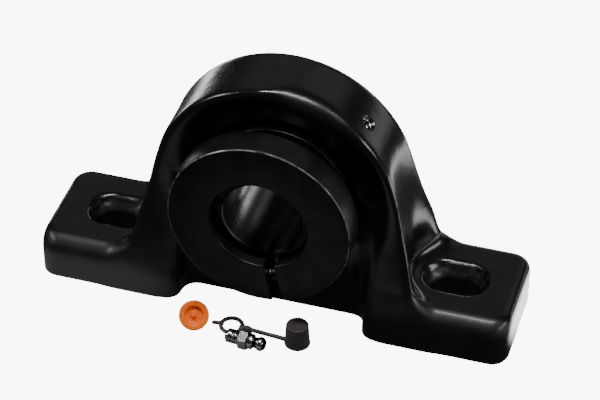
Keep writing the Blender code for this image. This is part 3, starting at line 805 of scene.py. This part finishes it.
# ------------------------------------------------------------------ housing
def arch_field(x, y, z):
    """Round crown on straight flanks that swell a little; the legs widen smoothly towards the foot.

    A round relief beside each bolt slot is cut into the flank. The front edge is softer low down
    and just right of the top of the crown.
    """
    up = z - SHAFT_HEIGHT
    side, depth = np.abs(x), np.abs(y)
    swell = SWELL * np.exp(-((z - SWELL_HEIGHT) / SWELL_REACH) ** 2)
    flank = side * math.cos(FLANK_ANGLE) + up * math.sin(FLANK_ANGLE) - ARCH_RADIUS
    leg = np.maximum(flank, up - ARCH_RADIUS * math.sin(FLANK_ANGLE))
    crown = np.hypot(x, up) - ARCH_RADIUS
    face = np.where(y > 0, ARCH_HALF_WIDTH + REAR_EXTRA, ARCH_HALF_WIDTH)
    flare_top = np.where(y > 0, REAR_FLARE_TOP, FRONT_FLARE_TOP)
    width = face + (HALF_WIDTH - FLARE_INSET - face) * eased_step(z, flare_top, FLARE_BOTTOM)
    right_of_top = eased_step(x, -10.0, 8.0) * eased_step(x, 44.0, 22.0) * eased_step(up, 20.0, 40.0)
    soft = (ARCH_EDGE + CROWN_EDGE_EXTRA * right_of_top * (y < 0)
            + LOW_EDGE_EXTRA * eased_step(z, 48.0, 32.0))
    arch = common(np.minimum(leg, crown) - swell, (depth - width) * 0.97, soft)
    reach = np.hypot(side - BOLT_CENTRE, y)
    relief = (reach - RELIEF_RADIUS - RELIEF_DRAFT * (z - FOOT_HEIGHT)) * 0.98
    return without(arch, relief, RELIEF_FILLET)


def foot_field(x, y, z):
    """Flat foot with rounded corners; its front edge is softer than the rear one."""
    over_x = np.abs(x) - (HALF_LENGTH - FOOT_CORNER)
    over_y = np.abs(y) - (HALF_WIDTH - FOOT_CORNER)
    plan = (np.hypot(np.maximum(over_x, 0), np.maximum(over_y, 0))
            + np.minimum(np.maximum(over_x, over_y), 0) - FOOT_CORNER)
    return common(plan, z - FOOT_HEIGHT, FOOT_EDGE + FRONT_EDGE_EXTRA * eased_step(y, -16.0, -28.0))


def opening_field(x, y, z):
    """Dished mouths round the insert, running down into the recess between the legs."""
    up = z - SHAFT_HEIGHT
    side, depth = np.abs(x), np.abs(y)
    dish = (np.hypot(x, up) - DISH_RADIUS) * math.cos(DISH_SLOPE)
    dish = np.maximum(dish - (depth - OUTER_HALF_WIDTH) * math.sin(DISH_SLOPE), DISH_FLOOR - depth)
    recess = common(side - LEG_INNER, WEB_HALF_WIDTH - depth, RECESS_CORNER)
    recess = np.maximum(recess, up - RECESS_TOP)
    return joined(recess, dish, OPENING_EDGE)


def slot_field(x, y, z):
    """Bolt slots whose mouths widen and lean back a little."""
    mouth = eased_step(z, FOOT_HEIGHT - MOUTH_DEPTH, FOOT_HEIGHT)
    offset = np.maximum(np.abs(np.abs(x) - BOLT_CENTRE) - SLOT_STRAIGHT - 1.5 * mouth, 0)
    return (np.hypot(offset, y - 1.4 * mouth) - SLOT_HALF_WIDTH - 3.0 * mouth) * 0.85


def housing_field(x, y, z):
    body = joined(arch_field(x, y, z), foot_field(x, y, z), FOOT_FILLET)
    body = common(body, np.abs(y) - HALF_WIDTH, SIDE_EDGE)
    body = without(body, opening_field(x, y, z), OPENING_EDGE)
    body = without(body, slot_field(x, y, z), SLOT_EDGE)
    return common(body, -z, BOTTOM_EDGE)


def make_housing():
    """Casting with its machined seat, loading notches, pin groove and grease port."""
    margin = 2.0
    low = (-HALF_LENGTH - margin, -HALF_WIDTH - margin, -margin)
    high = (HALF_LENGTH + margin, HALF_WIDTH + margin, HOUSING_HIGH.z + margin)
    casting = moulded("housing_casting", housing_field, low, high, 1.25)
    seat = turned([(0.0, SEAT_RADIUS)] + arc((0, 0), SEAT_RADIUS, 88, -88, 62) + [(0.0, -SEAT_RADIUS)], 128,
                  closed=False)
    notch = block((2 * SEAT_RADIUS - 0.3, 20.0, 2 * OUTER_HALF_WIDTH + 1.0), CENTRE + Vector((0, 10.0, 0)))
    pin_groove = block((3.8, 26.0, 8.0), CENTRE + Vector((0, 8.5, 38.6)))
    direction = radial(PORT_ANGLE)
    mouth = CENTRE + Vector((0, PORT_Y, 0)) + direction * ARCH_RADIUS
    port = turned([(0, 12), (PORT_RADIUS + 12.4, 12), (PORT_RADIUS + 0.5, -0.2), (PORT_RADIUS, -0.8),
                   (PORT_RADIUS, -PORT_DEPTH), (0, -PORT_DEPTH - 1.6)], 48, closed=False)
    passage = cylinder(PASSAGE_RADIUS, -26.0, 0.0, 24)
    tools = [placed(seat, ON_SHAFT), notch, pin_groove,
             placed(port, along(mouth, direction)), placed(passage, along(mouth, direction))]
    piece("housing_casting", carve(casting, tools), "housing", "gloss_black_paint", 38.0)
    make_port_thread(mouth, direction)


def make_port_thread(mouth, direction):
    """Turns of thread standing in the wall of the grease port."""
    ridge = thread("bearing_steel", PORT_RADIUS + 0.05, 1.2, 9.6, 0.42)
    matrix = along(mouth - direction * 10.4, direction)
    piece("port_thread", ridge, "housing", "bearing_steel", 60.0, matrix)


# ------------------------------------------------------------------ insert
def make_outer_ring():
    """Ring with a spherical outside, the raceway, a seat for each seal and the pin's hole."""
    half = math.degrees(math.asin(OUTER_HALF_WIDTH / OUTER_RADIUS))
    width, seal_seat, land = OUTER_HALF_WIDTH, 35.3, 34.3
    outside = arc((0, 0), OUTER_RADIUS, half, -half, 24)
    raceway = arc((0, 0), RACEWAY_RADIUS, -RACEWAY_HALF_ANGLE, RACEWAY_HALF_ANGLE, 14)
    groove = [(PITCH_RADIUS + r, h) for r, h in raceway]
    profile = (outside + [(seal_seat, -width), (seal_seat, -9.0), (land, -9.0)] + groove
               + [(land, 9.0), (seal_seat, 9.0), (seal_seat, width)])
    ring = turned(profile, 160)
    hole = placed(cylinder(PIN_RADIUS + 0.3, 38.4, 42.0, 24), Matrix.Translation(CENTRE))
    ring = carve(placed(ring, ON_SHAFT), [hole])
    piece("outer_ring_ground", ring, "outer_ring", "bearing_steel", 30.0)


def make_locating_pin():
    low, high = box_mm("locating_pin")
    profile = [(0, high.z), (PIN_RADIUS, high.z), (PIN_RADIUS, low.z), (0, low.z)]
    pin = turned(eased(profile, 0.35, 4, closed=False), 48, closed=False)
    piece("locating_pin_ground", pin, "locating_pin", "bearing_steel", 40.0)


def make_seals():
    """Rubber washers with a moulded rib, and the pressed flingers outside them."""
    seal = [(35.0, 10.5), (35.0, 9.2), (26.1, 9.2), (26.1, 9.9), (27.4, 10.5), (29.3, 10.0), (31.0, 10.0),
            (32.6, 10.5)]
    flinger = [(33.5, 11.9), (33.5, 11.0), (25.8, 11.0), (25.8, 13.4), (27.0, 13.4), (27.5, 11.9)]
    turned_back = ON_SHAFT @ Matrix.Rotation(math.pi, 4, "X")
    for side, matrix in (("front", ON_SHAFT), ("rear", turned_back)):
        piece(f"{side}_seal_moulding", turned(eased(seal, 0.25, 2), 120), f"{side}_seal", "seal_rubber",
              50.0, matrix)
        piece(f"{side}_flinger_pressing", turned(eased(flinger, 0.4, 3), 144), f"{side}_flinger",
              "flinger_steel", 50.0, matrix)


def make_inner_ring():
    """Ground ring with its groove, and three slots in the thin end under the collar."""
    front, rear, land = -INNER_LOW.y, -INNER_HIGH.y, 25.5
    raceway = arc((0, 0), RACEWAY_RADIUS, RACEWAY_HALF_ANGLE, -RACEWAY_HALF_ANGLE, 14)
    groove = [(PITCH_RADIUS - r, h) for r, h in raceway]
    profile = ([(EXTENSION_RADIUS - 0.7, front), (EXTENSION_RADIUS, front - 0.7), (EXTENSION_RADIUS, 16.6),
                (EXTENSION_RADIUS + 0.5, 16.0), (land, 15.2)] + groove
               + [(land, rear + 0.7), (land - 0.7, rear), (SHAFT_RADIUS + 1.0, rear),
                  (SHAFT_RADIUS, rear + 1.0), (SHAFT_RADIUS, front - 1.0), (SHAFT_RADIUS + 1.0, front)])
    ring = placed(turned(profile, 192), ON_SHAFT)
    slots = []
    for i in range(3):
        angle = SLIT_ANGLE + i * math.radians(120)
        middle = CENTRE + radial(angle, 21) + Vector((0.0, -front, 0.0))
        matrix = Matrix.Translation(middle) @ Matrix.Rotation(-angle, 4, "Y")
        slots.append(placed(block((10.0, 22.0, 3.0)), matrix))
    piece("inner_ring_ground", carve(ring, slots), "inner_ring", "bearing_steel", 30.0)


def make_balls():
    """The polished balls, each its own piece so that it can replace its own node."""
    for i in range(BALL_COUNT):
        ball(f"ball_{i + 1}", BALL_RADIUS, 48)


def make_cage():
    """One moulded ring with a round window for each ball."""
    ring = turned(eased([(32.0, 8.0), (32.0, -8.0), (28.0, -8.0), (28.0, 8.0)], 0.6, 3), 144)
    windows = []
    for i in range(BALL_COUNT):
        turn = Matrix.Rotation(math.radians(90 + 360 / BALL_COUNT * i), 4, "Z")
        window = cylinder(BALL_RADIUS + WINDOW_GAP, 22.0, 36.0, 40)
        windows.append(placed(window, turn @ Matrix.Rotation(math.radians(90), 4, "Y")))
    piece("cage_moulding", carve(ring, windows), "cage", "cage_nylon", 40.0, ON_SHAFT)


# ------------------------------------------------------------------ collar and screw
def mid_collar(radius):
    """A point in the slit, halfway through the collar, at a distance from the shaft line."""
    return CENTRE + radial(SLIT_ANGLE, radius) + Vector((0.0, -(COLLAR_FRONT + COLLAR_BACK) / 2, 0.0))


def screw_frame(distance):
    """The screw's frame at a distance from the slit, its Z towards the head."""
    direction = Vector((-math.sin(SLIT_ANGLE), 0.0, math.cos(SLIT_ANGLE)))
    return along(mid_collar(SCREW_OFFSET) + direction * distance, direction)


def make_collar():
    """Split collar: chamfered edges, sawn slit, screw hole and head pocket."""
    edge, bore_edge = 0.85, 0.7
    profile = [(COLLAR_RADIUS - edge, COLLAR_FRONT), (COLLAR_RADIUS, COLLAR_FRONT - edge),
               (COLLAR_RADIUS, COLLAR_BACK + edge), (COLLAR_RADIUS - edge, COLLAR_BACK),
               (COLLAR_BORE + bore_edge, COLLAR_BACK), (COLLAR_BORE, COLLAR_BACK + bore_edge),
               (COLLAR_BORE, COLLAR_FRONT - bore_edge), (COLLAR_BORE + bore_edge, COLLAR_FRONT)]
    ring = placed(turned(eased(profile, 0.3, 2), 216), ON_SHAFT)
    slit = placed(block((30.0, 30.0, SLIT_WIDTH)),
                  Matrix.Translation(mid_collar(SCREW_OFFSET)) @ Matrix.Rotation(-SLIT_ANGLE, 4, "Y"))
    hole = placed(cylinder(SCREW_SHANK + HOLE_GAP, -31.0, 5.0), screw_frame(HEAD_SEAT))
    pocket = placed(cylinder(SCREW_HEAD + HOLE_GAP, 0.0, 30.0), screw_frame(HEAD_SEAT))
    collar = bevelled(carve(ring, [slit, hole, pocket]), 0.22, 2, 40.0)
    piece("collar_turning", collar, "clamp_collar", "black_oxide", 32.0)


def make_screw():
    """Socket head cap screw with a knurled head and rolled thread."""
    outline = eased([(0, 8.2), (SCREW_HEAD - 0.7, 8.2), (SCREW_HEAD - 0.15, 7.5), (SCREW_HEAD - 0.15, 0.3),
                  (SCREW_SHANK - 0.35, 0.3), (SCREW_SHANK - 0.35, -SHANK_LENGTH + 1.4),
                  (SCREW_SHANK - 1.2, -SHANK_LENGTH + 0.3), (0, -SHANK_LENGTH + 0.3)], 0.3, 3, closed=False)
    socket = cylinder(SOCKET_FLATS / math.sqrt(3), 3.9, 12.0, 6)
    core = carve(turned(outline, 72, closed=False), [socket])
    tooth = prism([(-0.2, -0.2), (0.2, -0.02), (0.2, 0.02), (-0.2, 0.2)], 0.9, 7.0)
    knurl = ring_of("screw_steel", 40, SCREW_HEAD - 0.22, tooth)
    ridge = placed(thread("screw_steel", SCREW_SHANK - 0.36, 1.41, 20.0, 0.42),
                   Matrix.Translation((0, 0, -27.0)))
    piece("clamp_screw_rolled", merged(core, knurl, ridge), "clamp_screw", "screw_steel", 30.0,
          screw_frame(HEAD_SEAT))


# ------------------------------------------------------------------ loose grease kit
def fitting_frame():
    """The fitting's frame at the end of its thread, its Z towards the head."""
    return along(FITTING_START, -Vector(JOINTS["valve_travel"]["axis"]))


def make_fitting():
    """Grease fitting: rolled thread, chamfered hexagon, grooved neck and ball head."""
    outside = [(0.7, 20.25), (1.5, 20.3), (2.6, 19.9), (3.5, 18.6), (3.55, 17.2), (2.8, 16.2), (2.6, 14.6),
               (3.7, 14.0), (3.85, 13.4), (3.85, 11.8), (2.7, 11.6), (2.7, 6.8), (2.75, 6.4), (2.75, 0.7),
               (2.3, 0.0), (1.5, 0.0), (1.5, 18.5), (0.7, 18.5)]
    body = turned(eased(outside, 0.3, 2), 72)
    flats = prism(arc((0, 0), FITTING_FLATS / math.sqrt(3), 0, 300, 5), 7.3, 11.6)
    chamfer = turned([(0, 12.2), (4.1, 12.0), (5.2, 11.1), (5.2, 7.8), (4.1, 6.9), (0, 6.9)], 72,
                     closed=False)
    hexagon = carve(carve(flats, [chamfer], "INTERSECT"), [cylinder(1.6, 0, 20, 40)])
    ridge = placed(thread("zinc_plate", 3.0, 1.27, 6.1, 0.62), Matrix.Translation((0, 0, 0.6)))
    matrix = fitting_frame() @ Matrix.Rotation(math.radians(30), 4, "Z")
    piece("grease_fitting_plated", merged(body, hexagon, ridge), "fitting_body", "zinc_plate", 32.0, matrix)


def make_check_valve():
    """Ball and spring inside the fitting; the coil is short enough to clear the ball's travel."""
    ball("check_ball", CHECK_BALL_RADIUS, 32)
    spring = thread("bearing_steel", 0.95, 1.2, 6.0, 0.16)
    piece("check_spring_coil", spring, "check_spring", "bearing_steel", 60.0,
          fitting_frame() @ Matrix.Translation((0, 0, 9.0)))


def capsule(x, y, z, start, end, radius):
    """Distance from a round rod between two points."""
    run = np.array(end) - np.array(start)
    share = ((x - start[0]) * run[0] + (y - start[1]) * run[1] + (z - start[2]) * run[2]) / (run @ run)
    share = np.clip(share, 0, 1)
    return np.sqrt((x - start[0] - share * run[0]) ** 2 + (y - start[1] - share * run[1]) ** 2
                   + (z - start[2] - share * run[2]) ** 2) - radius


def cap_field(x, y, z):
    """Tapered cup with a rolled lip, joined by a strap and lug to the tether ring and its pull tab."""
    reach = np.hypot(x - CAP_PLACE[0], y - CAP_PLACE[1])
    outside = common(reach - CAP_RADIUS + CAP_TAPER * z, z - CAP_HEIGHT, 0.9)
    lip = np.hypot(reach - CAP_RADIUS + 0.4, z - 0.55) - 0.5
    cup = joined(outside, lip, 0.6)
    at_x, at_y, at_z = RING_PLACE
    ring = np.hypot(np.hypot(x - at_x, y - at_y) - RING_RADIUS, z - at_z) - RING_THICKNESS
    lug_start = (at_x + 5.3, at_y, at_z)
    lug = capsule(x, y, z, lug_start, (at_x + 8.6, at_y - 0.4, at_z + 0.45), 1.5)
    strap = capsule(x, y, z, lug_start, (CAP_PLACE[0] - 5.2, CAP_PLACE[1] - 0.3, at_z), 1.1)
    tab = capsule(x, y, z, (at_x - 5.0, at_y, at_z), (at_x - 9.0, at_y - 0.4, at_z), 1.0)
    tether = joined(joined(joined(ring, lug, 0.8), strap, 0.6), tab, 0.8)
    whole = joined(cup, tether, 0.9)
    hollow = common(reach - CAP_HOLLOW_RADIUS, z - CAP_HOLLOW_DEPTH, 0.8)
    return common(without(whole, hollow, 0.5), -z, 0.25)


def make_grease_cap():
    """Cap, strap and ring as one moulding."""
    low, high = box_mm("grease_cap")
    margin = Vector((1.0, 1.0, 1.0))
    step = 0.27
    mesh = moulded("grease_cap_moulding", cap_field, low - margin, high + margin, step)
    piece("grease_cap_moulding", mesh, "grease_cap", "cap_rubber", 60.0)


def make_plug():
    """Push-in plug: thin flange, recessed face with a centre post, and a tapered stem."""
    profile = [(0, -0.3), (0.9, -0.35), (1.3, -0.9), (1.45, -2.5), (4.0, -2.5), (4.4, -0.7), (4.8, -0.1),
               (5.6, 0.0), (7.0, 0.0), (7.4, -0.5), (7.4, -1.2), (6.9, -1.6), (5.0, -1.6), (4.6, -2.1),
               (4.1, -4.0), (4.2, -4.4), (3.9, -4.8), (3.1, -6.3), (2.5, -6.8), (0, -6.8)]
    mesh = turned(eased(profile, 0.35, 3, closed=False), 96, closed=False)
    matrix = (Matrix.Translation(PLUG_PLACE) @ Matrix.Rotation(PLUG_TURN, 4, "Z")
              @ Matrix.Rotation(PLUG_TILT, 4, "X"))
    piece("port_plug_moulding", mesh, "port_plug", "orange_plastic", 45.0, matrix)


# ------------------------------------------------------------------ camera, floor and lights
def make_camera():
    """Long lens from the front, a little right of the shaft line and well above it."""
    azimuth, elevation, distance = math.radians(17.0), math.radians(39.3), 1.1724
    target = Vector((0.0, 0.0, 0.8 * SHAFT_HEIGHT * MM))
    back = Vector((math.sin(azimuth) * math.cos(elevation), -math.cos(azimuth) * math.cos(elevation),
                   math.sin(elevation)))
    data = bpy.data.cameras.new("camera")
    data.lens, data.sensor_width = 146.6, 36.0
    data.shift_x, data.shift_y = 0.026, -0.0091
    data.clip_start, data.clip_end = 0.05, 20.0
    camera = bpy.data.objects.new("camera", data)
    bpy.context.scene.collection.objects.link(camera)
    camera.location = target + back * distance
    camera.rotation_mode = "QUATERNION"
    camera.rotation_quaternion = (-back).to_track_quat("-Z", "Y")
    bpy.context.scene.camera = camera


def card(name, place, size, aim, radiance):
    """A soft box: an area light that looks equally bright whatever its size."""
    data = bpy.data.lights.new(name, "AREA")
    data.shape, data.size, data.size_y = "RECTANGLE", size[0], size[1]
    data.energy = radiance * size[0] * size[1] * math.pi
    light = bpy.data.objects.new(name, data)
    bpy.context.scene.collection.objects.link(light)
    light.location = place
    light.rotation_mode = "QUATERNION"
    light.rotation_quaternion = (Vector(aim) - Vector(place)).to_track_quat("-Z", "Y")


def make_world():
    """White behind the object; as a source of light it is nearly dark, with broad soft glows."""
    world = bpy.data.worlds.new("studio")
    bpy.context.scene.world = world
    world.use_nodes = True
    sky = Shader(world.node_tree)
    ray = sky.add("ShaderNodeTexCoord", {}, {})["Generated"]
    light = DIM_SKY
    for direction, inner, outer, strength in GLOWS:
        aim = sky.vector_maths("DOT_PRODUCT", ray, Vector(direction).normalized())["Value"]
        light = aim.ramp(math.cos(math.radians(outer)), math.cos(math.radians(inner))) * strength + light
    seen = sky.add("ShaderNodeLightPath", {}, {})["Is Camera Ray"]
    brightness = seen * WHITE + (1 - seen) * light
    sky.tree.links.new(brightness.socket, sky.tree.nodes["Background"].inputs["Color"])


def make_floor():
    """White floor. In reflections it is dim near the object, with pools of light in front and beside it."""
    finish = Finish("white_floor")
    x, y, _ = finish.axes()
    light = DIM_FLOOR
    for (across, back), (wide, deep), edge, strength in POOLS:
        reach = (((x - across) / wide) ** 2 + ((y - back) / deep) ** 2) ** 0.5
        light = (1 - reach.ramp(1.0 - edge, 1.0 + edge)) * strength + light
    seen = finish.add("ShaderNodeLightPath", {}, {})["Is Camera Ray"]
    brightness = seen * WHITE + (1 - seen) * light
    finish.tree.links.new(brightness.socket, finish.shader.inputs["Emission Color"])
    constants = {"Specular IOR Level": 0.0, "Emission Strength": 1.0}
    material = finish.done((0.02, 0.02, 0.02), 1.0, constants=constants)
    form = bmesh.new()
    bmesh.ops.create_grid(form, x_segments=1, y_segments=1, size=4.0)
    floor_mesh = from_bmesh("floor", form)
    floor_mesh.materials.append(material)
    floor = bpy.data.objects.new("floor", floor_mesh)
    floor.location.z = -0.0002
    bpy.context.scene.collection.objects.link(floor)


def make_studio():
    make_world()
    make_floor()
    middle = (0.0, 0.0, 0.06)
    card("overhead", (0.02, -0.20, 1.0), (0.50, 0.15), middle, 34.0)
    card("left_strip", (-0.80, -0.25, 0.58), (0.5, 0.14), middle, 12.0)
    card("right_strip", (0.80, -0.15, 0.42), (0.55, 0.16), middle, 8.0)
    card("rear_low", (0.15, 1.10, 0.13), (0.70, 0.18), middle, 1.6)


# ------------------------------------------------------------------ the whole object
make_camera()
make_studio()
make_housing()
make_outer_ring()
make_locating_pin()
make_seals()
make_inner_ring()
make_balls()
make_cage()
make_collar()
make_screw()
make_fitting()
make_check_valve()
make_grease_cap()
make_plug()
